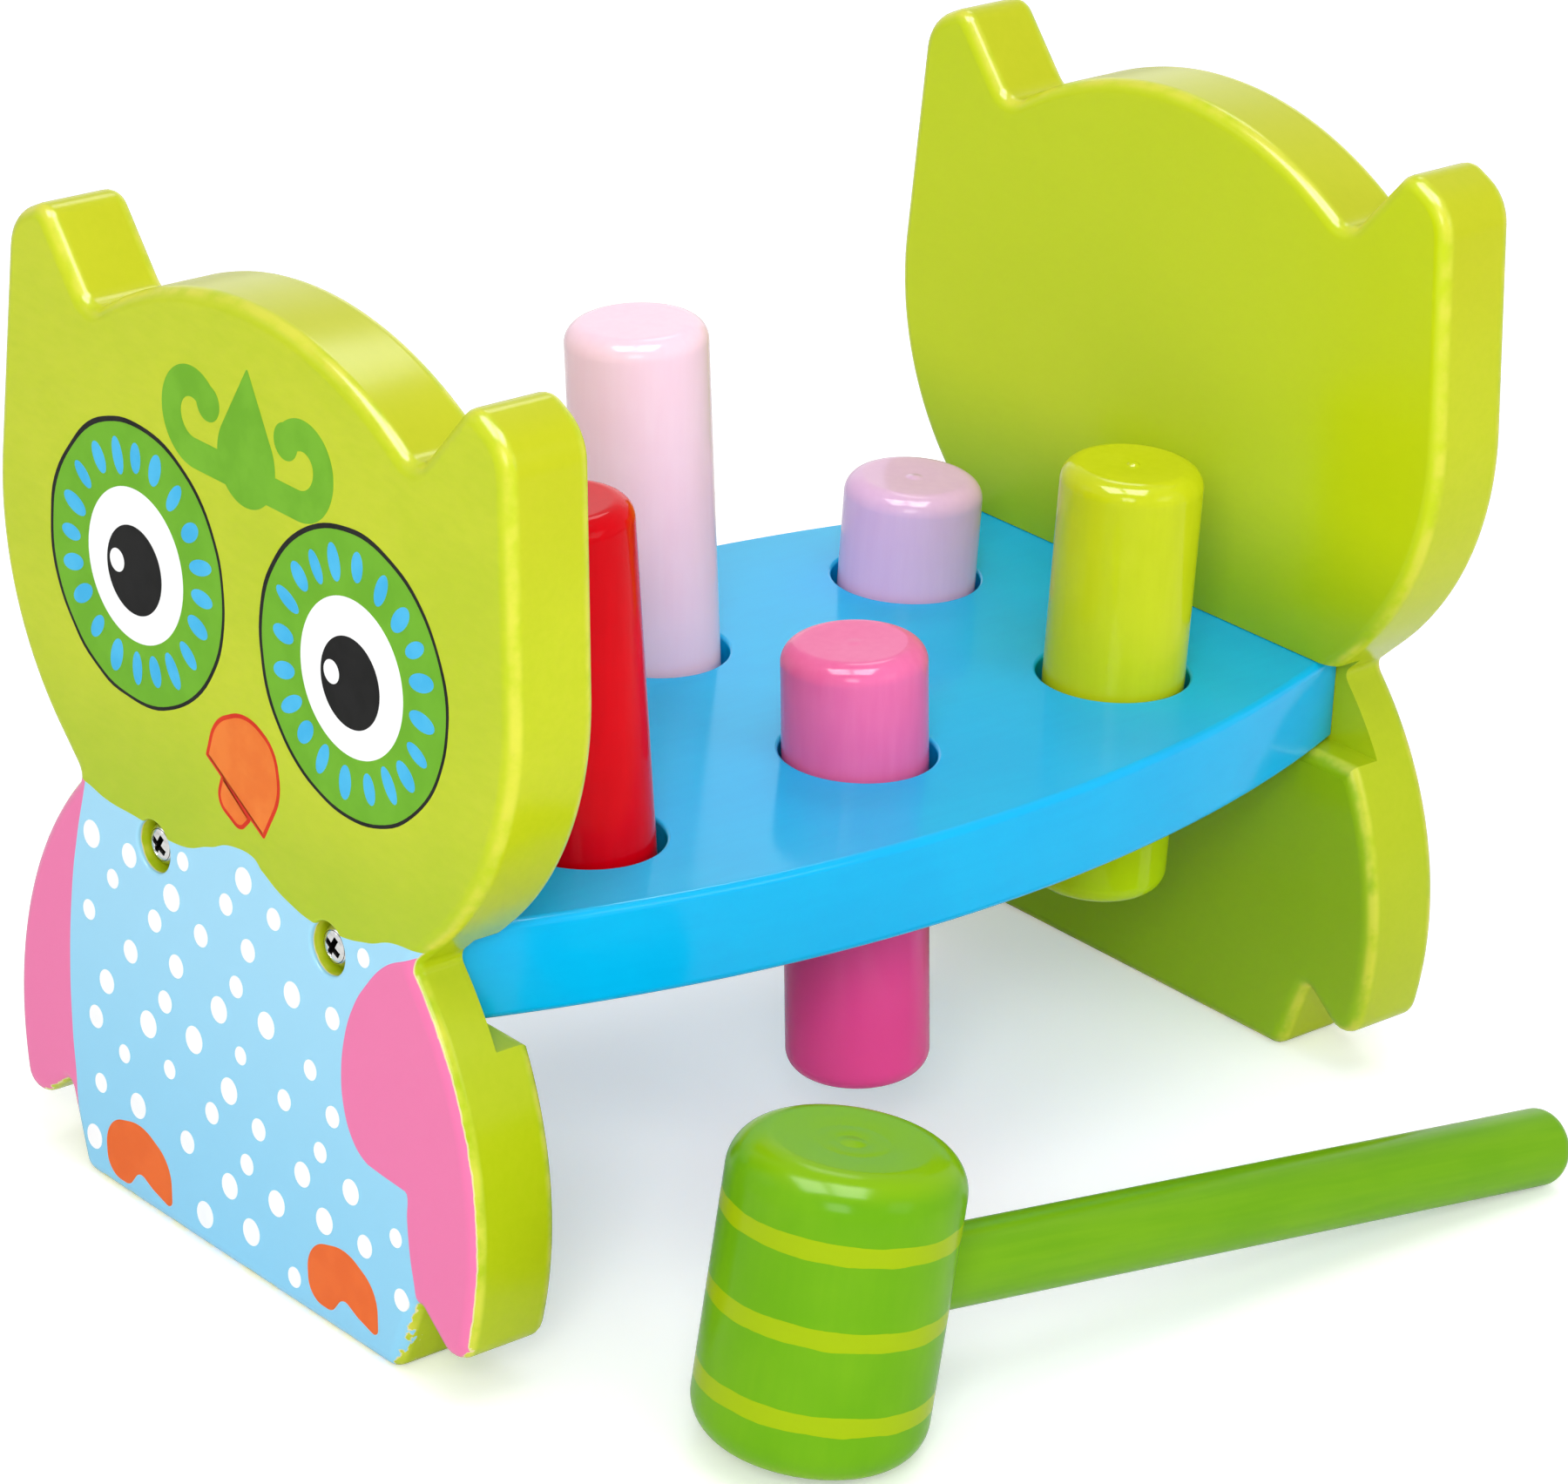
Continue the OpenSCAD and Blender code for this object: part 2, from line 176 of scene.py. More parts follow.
class Pen:
    # draws outlines in mm on a plane, by extruding and spinning one vertex
    def __init__(self, across=(1, 0, 0), up=(0, 0, 1), origin=(0, 0, 0)):
        self.across, self.up, self.origin = Vector(across), Vector(up), Vector(origin)
        self.axis = self.across.cross(self.up)

    def place(self, point):
        return (self.origin + self.across * point[0] + self.up * point[1]) * mm

    def start(self, point):
        bpy.ops.mesh.select_mode(type="VERT")
        bpy.ops.mesh.select_all(action="DESELECT")
        bpy.ops.mesh.primitive_plane_add(size=mm, location=self.place(point))
        bpy.ops.mesh.merge(type="CENTER")
        self.first = self.at = Vector(point)

    def lines(self, *points):
        for point in points:
            move = self.place(point) - self.place(self.at)
            if move.length > tiny:
                bpy.ops.mesh.extrude_region_move(TRANSFORM_OT_translate={"value": move})
                self.at = Vector(point)

    def arc(self, centre, angle, step, least=6):  # anticlockwise where the angle is positive
        arm = self.at - Vector(centre)
        steps = max(least, ceil(arm.length * abs(angle) / step))
        bpy.ops.mesh.spin(steps=steps, angle=-angle, center=self.place(centre), axis=self.axis)
        self.at = Vector(centre) + Matrix.Rotation(angle, 2) @ arm

    def close(self):
        self.lines(self.first)
        bpy.ops.mesh.select_linked()
        bpy.ops.mesh.remove_doubles(threshold=weld)
        bpy.ops.mesh.edge_face_add()

    def rounded(self, corners, step):  # closed outline, each corner given as x, z and radius
        spots = [Vector(corner[:2]) for corner in corners]
        count = len(corners)
        back = [(spots[i - 1] - spots[i]).normalized() for i in range(count)]
        ahead = [(spots[(i + 1) % count] - spots[i]).normalized() for i in range(count)]
        half = [acos(back[i].dot(ahead[i])) / 2 for i in range(count)]
        wanted = [corners[i][2] / tan(half[i]) for i in range(count)]
        for i in range(count):
            beside = (i - 1, (i + 1) % count)
            room = [(spots[i] - spots[j]).length / (wanted[i] + wanted[j]) for j in beside]
            reach = wanted[i] * min(1, *room)
            middle = spots[i] + (back[i] + ahead[i]).normalized() * reach / cos(half[i])
            first = spots[i] + back[i] * reach
            if i:
                self.lines(first)
            else:
                self.start(first)
            side = 1 if ahead[i].cross(back[i]) > 0 else -1
            self.arc(middle, side * (pi - 2 * half[i]), step)
        self.close()


# Shader helpers

class Value:
    # a shader socket that takes part in Python sums
    def __init__(self, finish, socket):
        self.finish, self.socket = finish, socket

    def maths(self, operation, *values):
        return self.finish.add("Math", {"operation": operation}, values)

    def __add__(self, other):
        return self.maths("ADD", self, other)

    def __sub__(self, other):
        return self.maths("SUBTRACT", self, other)

    def __rsub__(self, other):
        return self.maths("SUBTRACT", other, self)

    def __mul__(self, other):
        return self.maths("MULTIPLY", self, other)

    def __truediv__(self, other):
        return self.maths("DIVIDE", self, other)

    def __lt__(self, other):
        return self.maths("LESS_THAN", self, other)

    def __gt__(self, other):
        return self.maths("GREATER_THAN", self, other)

    def __abs__(self):
        return self.maths("ABSOLUTE", self)

    def either(self, other):
        return self.maths("MAXIMUM", self, other)

    def soft(self, low, high):  # 0 below low, 1 above high
        return self.finish.add("MapRange", {"interpolation_type": "SMOOTHSTEP"},
                               {0: self, 1: low, 2: high})

    __radd__, __rmul__ = __add__, __mul__


class Finish:
    # one material, or the world, and its nodes
    def __init__(self, name, owner=None, **sockets):
        self.material = owner or bpy.data.materials.new(name)
        self.material.use_nodes = True
        self.tree = self.material.node_tree
        self.shader = self.tree.nodes.get("Principled BSDF") or self.tree.nodes.get("Background")
        self.feed(**sockets)

    def add(self, kind, settings=None, inputs=(), output=0):
        node = self.tree.nodes.new("ShaderNode" + kind)
        for key, value in (settings or {}).items():
            if key == "points":
                curve = node.mapping.curves[0]
                for spot in value[1:-1]:
                    curve.points.new(*spot)
                curve.points[0].location, curve.points[-1].location = value[0], value[-1]
                node.mapping.update()
            else:
                setattr(node, key, value)
        for key, value in inputs.items() if isinstance(inputs, dict) else enumerate(inputs):
            self.join(node.inputs[key], value)
        return Value(self, node.outputs[output])

    def join(self, socket, value):
        if isinstance(value, Value):
            self.tree.links.new(value.socket, socket)
        else:
            socket.default_value = value

    def feed(self, **sockets):  # Base_Color=... sets or links the shader's own socket
        for key, value in sockets.items():
            self.join(self.shader.inputs[key.replace("_", " ")], value)

    def mix(self, factor, low, high):
        return self.add("Mix", {"data_type": "RGBA"}, {0: factor, 6: low, 7: high}, 2)

    def where(self, location=(0, 0, 0), rotation=(0, 0, 0)):  # the piece's own coordinates
        spot = self.add("TexCoord", output=3)
        return self.add("Mapping", {"vector_type": "TEXTURE"}, {0: spot, 1: location, 2: rotation})

    def parts(self, vector):  # x, y and z in mm
        node = self.add("SeparateXYZ", inputs=[vector])
        return [Value(self, socket) * (1 / mm) for socket in node.socket.node.outputs]

    def rays(self, *kinds):  # whether a ray is of each kind, for the floor and the sky
        outputs = self.add("LightPath").socket.node.outputs
        return [Value(self, outputs["Is " + kind + " Ray"]) for kind in kinds]

    def noise(self, vector, size, detail, stretch=(1, 1, 1)):  # grains of about size mm
        scaled = self.add("VectorMath", {"operation": "MULTIPLY"}, [vector, stretch])
        return self.add("TexNoise", {}, {"Vector": scaled, "Scale": 1 / (size * mm), "Detail": detail})

    def curve(self, points, value, span, reach):  # runs through points that lie in span and reach
        (low, high), (least, most) = span, reach
        scaled = [((a - low) / (high - low), (b - least) / (most - least)) for a, b in points]
        bent = self.add("FloatCurve", {"points": scaled}, [1.0, (value - low) / (high - low)])
        return bent * (most - least) + least

    def bump(self, height, depth):  # height from 0 to 1, depth in mm
        self.feed(Normal=self.add("Bump", {}, {"Strength": 1.0, "Distance": depth * mm, "Height": height}))


def tint(red, green, blue):
    parts = [part / 255 for part in (red, green, blue)]
    return (*[p / 12.92 if p <= 0.04045 else ((p + 0.055) / 1.055) ** 2.4 for p in parts], 1.0)


def coat(name, look, light, deep, *place):
    # starts a material whose tone, roughness and relief come from the look's grains
    finish = Finish(name, Specular_IOR_Level=look["sheen"])
    finish.spot = finish.where(*place)
    tone, finish.rough, relief = 0, look["rough"], 0
    for size, detail, stretch, toneShare, roughShare, reliefShare in look["grains"]:
        grain = finish.noise(finish.spot, size, detail, stretch)
        if toneShare:
            tone = tone + grain * toneShare
        if roughShare:
            finish.rough = finish.rough + grain * roughShare
        if reliefShare:
            relief = relief + grain * reliefShare
    finish.colour = finish.mix(tone.soft(*look["spread"]), tint(*deep), tint(*light))
    finish.feed(Base_Color=finish.colour, Roughness=finish.rough)
    finish.bump(relief, look["depth"])
    return finish


even = (1, 1, 1)  # a grain that isn't stretched


# Camera, floor and light

view = {
    "azimuth": 48.31, "elevation": 23.78, "roll": 2.73, "target": (1.36, 4.48, 62.13),
    "distance": 1049.3, "lens": 139.1, "sensor": 36, "shift": (0.006, 0.018), "clip": 0.01,
}


def setCamera():
    az, el, roll = (radians(view[key]) for key in ("azimuth", "elevation", "roll"))
    away = Vector((sin(az) * cos(el), -cos(az) * cos(el), sin(el)))
    right = Vector((cos(az), sin(az), 0))
    up = away.cross(right)
    right, up = right * cos(roll) + up * sin(roll), up * cos(roll) - right * sin(roll)
    spot = (Vector(view["target"]) + away * view["distance"]) * mm
    bpy.ops.object.camera_add(location=spot)
    camera = bpy.context.object
    camera.rotation_euler = Matrix((right, up, away)).transposed().to_euler()
    camera.data.lens = view["lens"]
    camera.data.sensor_width = view["sensor"]
    camera.data.shift_x, camera.data.shift_y = view["shift"]
    camera.data.clip_start = view["clip"]
    scene.camera = camera


stage = {
    "floorSize": 8.0, "floor": (247, 247, 246), "floorRough": 0.9, "floorLift": 0.3, "ambient": 0.5,
    "lamps": {  # place, width, height, power, and whether it only shows as gloss
        "paneLeft": ((0.0, -0.52, 1.25), 0.48, 0.7, 27.0, True),
        "paneRight": ((0.38, -0.1, 1.25), 0.48, 0.7, 27.0, True),
        "overhead": ((0.35, -0.15, 1.35), 0.8, 0.8, 3.5, False),
        "window": ((-0.45, 0.49, 1.0), 0.3, 0.3, 1.8, False),
        "backdrop": ((-1.0, 0.9, 0.5), 1.3, 0.7, 1.2, False),
        "leftSide": ((-0.75, -1.0, 0.75), 0.5, 0.5, 0.7, False),
        "rightSide": ((1.25, 0.35, 0.7), 0.5, 0.6, 2.5, False),
        "front": ((0.95, -0.95, 0.8), 0.5, 0.5, 9.8, False),
    },
    "aim": (0.0, 0.0, 0.06),
}


def setFloor():
    bpy.ops.mesh.primitive_plane_add(size=stage["floorSize"])
    floor = bpy.context.object
    floor.name = "floor"
    paper = Finish("paper", Roughness=stage["floorRough"], Base_Color=tint(*stage["floor"]))
    plain = Value(paper, paper.shader.outputs[0])
    glow = paper.add("Emission", {}, {"Strength": stage["floorLift"]})
    both = paper.add("AddShader", {}, [plain, glow])
    shown = paper.add("MixShader", {}, [*paper.rays("Camera"), plain, both])
    paper.join(paper.tree.nodes["Material Output"].inputs["Surface"], shown)
    floor.data.materials.append(paper.material)


def setLight():
    # a sky that is white to look at and dimmer as a light, and lamps turned to the part
    sky = Finish("sky", scene.world or bpy.data.worlds.new("sky"), Color=(1, 1, 1, 1))
    scene.world = sky.material
    seen, glossy, through = sky.rays("Camera", "Glossy", "Transmission")
    shows = seen.either(glossy).either(through)
    sky.feed(Strength=stage["ambient"] + shows * (1 - stage["ambient"]))
    right = Vector((cos(radians(view["azimuth"])), sin(radians(view["azimuth"])), 0))
    for name, (place, width, height, power, glossOnly) in stage["lamps"].items():
        bpy.ops.object.light_add(type="AREA", location=place)
        lamp = bpy.context.object
        lamp.name = name
        lamp.visible_camera = False
        lamp.visible_diffuse = not glossOnly
        lamp.data.shape = "RECTANGLE"
        lamp.data.size, lamp.data.size_y, lamp.data.energy = width, height, power
        away = (Vector(place) - Vector(stage["aim"])).normalized()
        up = away.cross(right).normalized()
        lamp.rotation_euler = Matrix((up.cross(away), up, away)).transposed().to_euler()


tidySelection()
setCamera()
setFloor()
setLight()
print("camera, floor and light set")


# End panels

panel = {
    "length": 218.0, "thick": 17.0, "edge": 2.6, "edgeSteps": 6, "step": 1.4, "sink": 0.12,
    "corners": [  # right half from the table up: x, z, radius
        (43.5, 0, 3.2), (48.8, 14.8, 1), (60.5, 5.6, 4.2), (69, 46, 66), (45.2, 73, 2),
        (70.68, 97.5, 56), (65.5, 165.6, 9), (55.9, 170.35, 4), (42.9, 155, 4.5),
    ],
    "crown": 167.95,
    "groove": (59.5, 76.65), "grooveDepth": 7.0, "grooveLong": 200.0,
    "lip": 2.4, "lipStep": 0.12, "lipArc": 0.3,
    "screwX": 23.8, "screwZ": 68.0, "bore": 9.2, "boreDepth": 4.6, "boreFlare": 0.5, "boreArc": 0.12,
    "boreSteps": 48, "pilot": 4.1,
}
faceY = -panel["length"] / 2 + panel["sink"]  # painted face, sunk a little under the print
innerY = -panel["length"] / 2 + panel["thick"]
halfTurn = Matrix.Rotation(pi, 4, "Z")


def panelCorners():
    half = panel["corners"]
    crownX, crownZ, _ = half[-1]
    slope = 2 * atan((panel["crown"] - crownZ) / crownX)
    radius = crownX / sin(slope)
    top = (0, panel["crown"] + radius * (1 / cos(slope) - 1), radius)
    return half + [top] + [(-x, z, r) for x, z, r in reversed(half)]


def grooveCutter():
    low, high = panel["groove"]
    deep, lip = panel["grooveDepth"], panel["lip"]
    inside = -lip - panel["lipStep"]
    cutter = startPiece("grooveCutter")
    pen = Pen((0, 1, 0), (0, 0, 1), (-panel["grooveLong"] / 2, innerY, 0))
    pen.start((overCut, low - lip))
    pen.lines((overCut, high), (-deep, high), (-deep, low), (inside, low))
    pen.arc((inside, low - lip), -pi / 2, panel["lipArc"])
    pen.close()
    thicken((panel["grooveLong"], 0, 0))
    return cutter


def boreCutter(x):
    # counterbore with a mouth worn round by paint, then the screw's own hole
    cutter = startPiece("boreCutter")
    bore, flare, deep = panel["bore"] / 2, panel["boreFlare"], panel["boreDepth"]
    pilot, sink, far = panel["pilot"] / 2, panel["sink"], panel["thick"] + overCut
    pen = Pen((1, 0, 0), (0, 1, 0), (x, faceY - sink, panel["screwZ"]))
    pen.start((0, -overCut))
    pen.lines((bore + flare, -overCut), (bore + flare, sink))
    pen.arc((bore + flare, sink + flare), -pi / 2, panel["boreArc"])
    pen.lines((bore, deep), (pilot, deep), (pilot, far), (0, far))
    spinAround(panel["boreSteps"], (x, 0, panel["screwZ"]), (0, 1, 0))
    return cutter


def makePanel():
    board = startPiece("front_board")
    Pen(origin=(0, faceY, 0)).rounded(panelCorners(), panel["step"])
    thicken((0, innerY - faceY, 0))
    easeEdges(panel["edge"], panel["edgeSteps"], lambda edge: liesIn(edge, 1, (faceY, innerY)))
    cutAway(board, grooveCutter())
    for side in (-1, 1):
        cutAway(board, boreCutter(side * panel["screwX"]))
    smoothOff(board)
    return board


frontBoard = makePanel()
rearBoard = copyPiece(frontBoard, "rear_board", halfTurn)
print("end panels modelled")


# Plate

plate = {
    "thick": 17.0, "under": 59.5, "wide": 123.0, "endWide": 92.0, "between": 184.0, "long": 197.7,
    "edge": 1.4, "edgeSteps": 6, "step": 2.0,
    "holeX": 27.25, "holeY": 59.4, "hole": 13.5, "holeEase": 0.7, "holeArc": 0.2, "holeSteps": 96,
    "ringGroove": (3.7, 16.1),  # height and radius of the groove behind a ring
}
plateMid = plate["under"] + plate["thick"] / 2


def holeCutter(x, y):
    cutter = startPiece("holeCutter")
    half, ease, hole = plate["thick"] / 2, plate["holeEase"], plate["hole"]
    tall, wide = plate["ringGroove"]
    mouth, far = hole + ease, half + overCut
    pen = Pen(origin=(x, y, plateMid))
    pen.start((0, -far))
    pen.lines((mouth, -far), (mouth, -half))
    pen.arc((mouth, -half + ease), -pi / 2, plate["holeArc"])
    pen.lines((hole, -tall / 2), (wide, -tall / 2), (wide, tall / 2), (hole, tall / 2), (hole, half - ease))
    pen.arc((mouth, half - ease), -pi / 2, plate["holeArc"])
    pen.lines((mouth, far), (0, far))
    spinAround(plate["holeSteps"], (x, y, 0))
    return cutter


def makePlate():
    sag = (plate["wide"] - plate["endWide"]) / 2
    radius = (plate["between"] ** 2 / 4 + sag ** 2) / (2 * sag)
    centre = plate["wide"] / 2 - radius
    sweep = asin(plate["long"] / 2 / radius)
    endX, endY = centre + radius * cos(sweep), plate["long"] / 2
    board = startPiece("plate_board")
    pen = Pen((1, 0, 0), (0, 1, 0), (0, 0, plate["under"]))
    pen.start((endX, -endY))
    pen.arc((centre, 0), 2 * sweep, plate["step"])
    pen.lines((-endX, endY))
    pen.arc((-centre, 0), 2 * sweep, plate["step"])
    pen.close()
    thicken((0, 0, plate["thick"]))
    levels = (plate["under"], plate["under"] + plate["thick"])
    easeEdges(plate["edge"], plate["edgeSteps"], lambda edge: liesIn(edge, 2, levels)
              and not all(abs(vert.co.y) > endY * mm - tiny for vert in edge.verts))
    for column in (-1, 1):
        for row in (-1, 0, 1):
            cutAway(board, holeCutter(column * plate["holeX"], row * plate["holeY"]))
    smoothOff(board)
    return board


plateBoard = makePlate()
print("plate modelled")


# Pegs

pegs = {
    "wide": 25.0, "long": 79.0, "rim": 3.6, "play": 1.0, "leanTo": 228.0, "steps": 96,
    "each": {  # column, row, height over the plate, share of the full lean, nib of the lathe's centre
        "red": (1, -1, 58.2, 0.8, 0.15), "pink": (1, 0, 19.8, 0.48, 0.1), "lime": (1, 1, 39.0, -0.18, 0.9),
        "orange": (-1, -1, 30.0, 0.0, 0.2), "blush": (-1, 0, 60.4, 0.62, 0.1),
        "lilac": (-1, 1, 19.2, -0.2, 0.45),
    },
}
turning = {  # ends of a dowel: each point's share of the radius, with its share of the dish or the nib
    "dish": 0.12, "foot": (0.3, 0.8), "top": (0.45, 0.5), "step": 0.5,
    "nib": ((0.16, -0.15), (0.09, -0.1), (0.06, 0.3), (0, 0.4)),
}


def turnedProfile(radius, low, high, rim, nib):
    # a dowel's half section from its lower pole to its upper one, with a shallow dish and nib on top
    dish, (footAt, footDish), (topAt, topDish) = turning["dish"], turning["foot"], turning["top"]
    pen = Pen()
    pen.start((0, low + dish))
    pen.lines((radius * footAt, low + dish * footDish), (radius - rim, low))
    pen.arc((radius - rim, low + rim), pi / 2, turning["step"])
    pen.lines((radius, high - rim))
    pen.arc((radius - rim, high - rim), pi / 2, turning["step"])
    pen.lines((radius * topAt, high - dish * topDish))
    pen.lines(*[(radius * share, high - dish + nib * rise) for share, rise in turning["nib"]])


def makePeg(name):
    column, row, rise, lean, nib = pegs["each"][name]
    piece = startPiece(name + "_dowel")
    high = plate["thick"] / 2 + rise
    turnedProfile(pegs["wide"] / 2, high - pegs["long"], high, pegs["rim"], nib)
    spinAround(pegs["steps"])
    fullLean = atan(2 * pegs["play"] / plate["thick"])
    way = radians(pegs["leanTo"])
    tilt = Matrix.Rotation(fullLean * lean, 4, Vector((-sin(way), cos(way), 0)))
    spot = Vector((column * plate["holeX"], row * plate["holeY"], plateMid)) * mm
    setPlace(piece, Matrix.Translation(spot) @ tilt)
    smoothOff(piece)
    return piece


dowels = {name: makePeg(name) for name in pegs["each"]}
print("pegs modelled")


# Screws

screw = {
    "head": 8.0, "headTall": 3.5, "shank": 4.0, "long": 22.0, "seatEase": 0.2, "steps": 48, "smooth": 30,
    "dome": ((0.45, 0.97), (0.7, 0.86), (0.9, 0.62), (1, 0.3), (1, 0.08)),  # shares of radius and height
    "slot": 1.35, "slotLong": 5.6, "slotDeep": 2.0, "slotTurn": 0.5, "slotTaper": (0.45, 0.7, 1),
}


def makeScrew():
    # stands along +Z with its head's seat at 0, until placeScrew turns it into the panel
    piece = startPiece("screw_body")
    head, tall, shank, long = screw["head"] / 2, screw["headTall"], screw["shank"] / 2, screw["long"]
    pen = Pen()
    pen.start((0, -tall))
    pen.lines(*[(head * out, -tall * up) for out, up in screw["dome"]])
    pen.lines((head - screw["seatEase"], 0), (shank, 0), (shank, long - 2 * shank), (0, long))
    spinAround(screw["steps"])
    slotSize = [side * mm for side in (screw["slotLong"], screw["slot"], 2 * screw["slotDeep"])]
    for angle in (0, pi / 2):  # two crossed slots that narrow as they go in
        tidySelection()
        bpy.ops.mesh.primitive_cube_add(size=1)
        cutter = bpy.context.object
        bpy.ops.object.mode_set(mode="EDIT")
        pick("FACE", lambda face: face.normal.z > 0.9)
        bpy.ops.transform.resize(value=screw["slotTaper"])
        setPlace(cutter, Matrix.Rotation(angle + screw["slotTurn"], 4, "Z")
                 @ Matrix.Translation((0, 0, -tall * mm)) @ Matrix.Diagonal((*slotSize, 1)))
        cutAway(piece, cutter)
    smoothOff(piece, screw["smooth"])
    return piece


def placeScrew(x, end):
    seat = Vector((x, -panel["length"] / 2 + panel["boreDepth"], panel["screwZ"])) * mm
    return end @ Matrix.Translation(seat) @ Matrix.Rotation(-pi / 2, 4, "X")


plainScrew = makeScrew()
screws = {}
for name, x, end in (("front_left", -1, Matrix.Identity(4)), ("front_right", 1, Matrix.Identity(4)),
                     ("rear_left", 1, halfTurn), ("rear_right", -1, halfTurn)):
    screws[name] = copyPiece(plainScrew, name + "_fastener", placeScrew(x * panel["screwX"], end))
bpy.data.objects.remove(plainScrew)
print("screws modelled")


# Mallet

mallet = {
    "head": 38.4, "headLong": 52.0, "headRim": 6.8, "headSteps": 128, "rimStep": 0.6, "dish": 0.3,
    "lathe": (  # rings left round the nib: share of the radius, depth
        (0.5, 0.12), (0.36, 0.16), (0.33, 0.34), (0.3, 0.2), (0.17, 0.24), (0.14, 0.42), (0.1, 0.3),
        (0.05, 0.1), (0, 0.05),
    ),
    "handle": 13.6, "handleReach": 164.0, "handleRim": 3.0, "handleNib": 0.1, "handleSteps": 64,
    "socket": 26.0, "glue": 0.08, "x": 101.3, "y": -68.0, "turn": 88.0,
    "stripes": (14.5, 0.0, -14.5), "stripe": 3.3,
}


def malletFrame():
    # lies on the head's lower rim and the handle's end
    rim, end = mallet["headRim"], mallet["handleRim"]
    reach = mallet["handleReach"] - end - mallet["head"] / 2 + rim
    drop = mallet["headLong"] / 2 - rim - mallet["handle"] / 2 + end
    tilt = atan2(drop, reach) + asin((rim - end) / hypot(reach, drop))
    high = (mallet["head"] / 2 - rim) * sin(tilt) + (mallet["headLong"] / 2 - rim) * cos(tilt) + rim
    return Vector((mallet["x"], mallet["y"], high)) * mm, Euler((0, tilt, radians(mallet["turn"])))


malletSpot, malletTurn = malletFrame()
malletPlace = Matrix.Translation(malletSpot) @ malletTurn.to_matrix().to_4x4()


def makeHead():
    head = startPiece("mallet_block")
    radius, half, rim = mallet["head"] / 2, mallet["headLong"] / 2, mallet["headRim"]
    pen = Pen()
    pen.start((0, -half + mallet["dish"]))
    pen.lines((radius - rim, -half))
    pen.arc((radius - rim, -half + rim), pi / 2, mallet["rimStep"])
    pen.lines((radius, half - rim))
    pen.arc((radius - rim, half - rim), pi / 2, mallet["rimStep"])
    pen.lines(*[(radius * share, half - down) for share, down in mallet["lathe"]])
    spinAround(mallet["headSteps"])
    cutter = startPiece("socketCutter")
    bpy.ops.mesh.primitive_cylinder_add(
        vertices=mallet["handleSteps"], radius=(mallet["handle"] / 2 + mallet["glue"]) * mm,
        depth=mallet["socket"] * mm * 2, rotation=(0, pi / 2, 0), location=(radius * mm, 0, 0))
    cutAway(head, cutter)
    setPlace(head, malletPlace)
    smoothOff(head)
    return head


def makeHandle():
    handle = startPiece("mallet_stick")
    foot = mallet["head"] / 2 - mallet["socket"] + mallet["glue"]
    turnedProfile(mallet["handle"] / 2, foot, mallet["handleReach"], mallet["handleRim"], mallet["handleNib"])
    spinAround(mallet["handleSteps"])
    setPlace(handle, malletPlace @ Matrix.Rotation(pi / 2, 4, "Y"))
    smoothOff(handle)
    return handle


malletHead = makeHead()
malletStick = makeHandle()
print("mallet modelled")
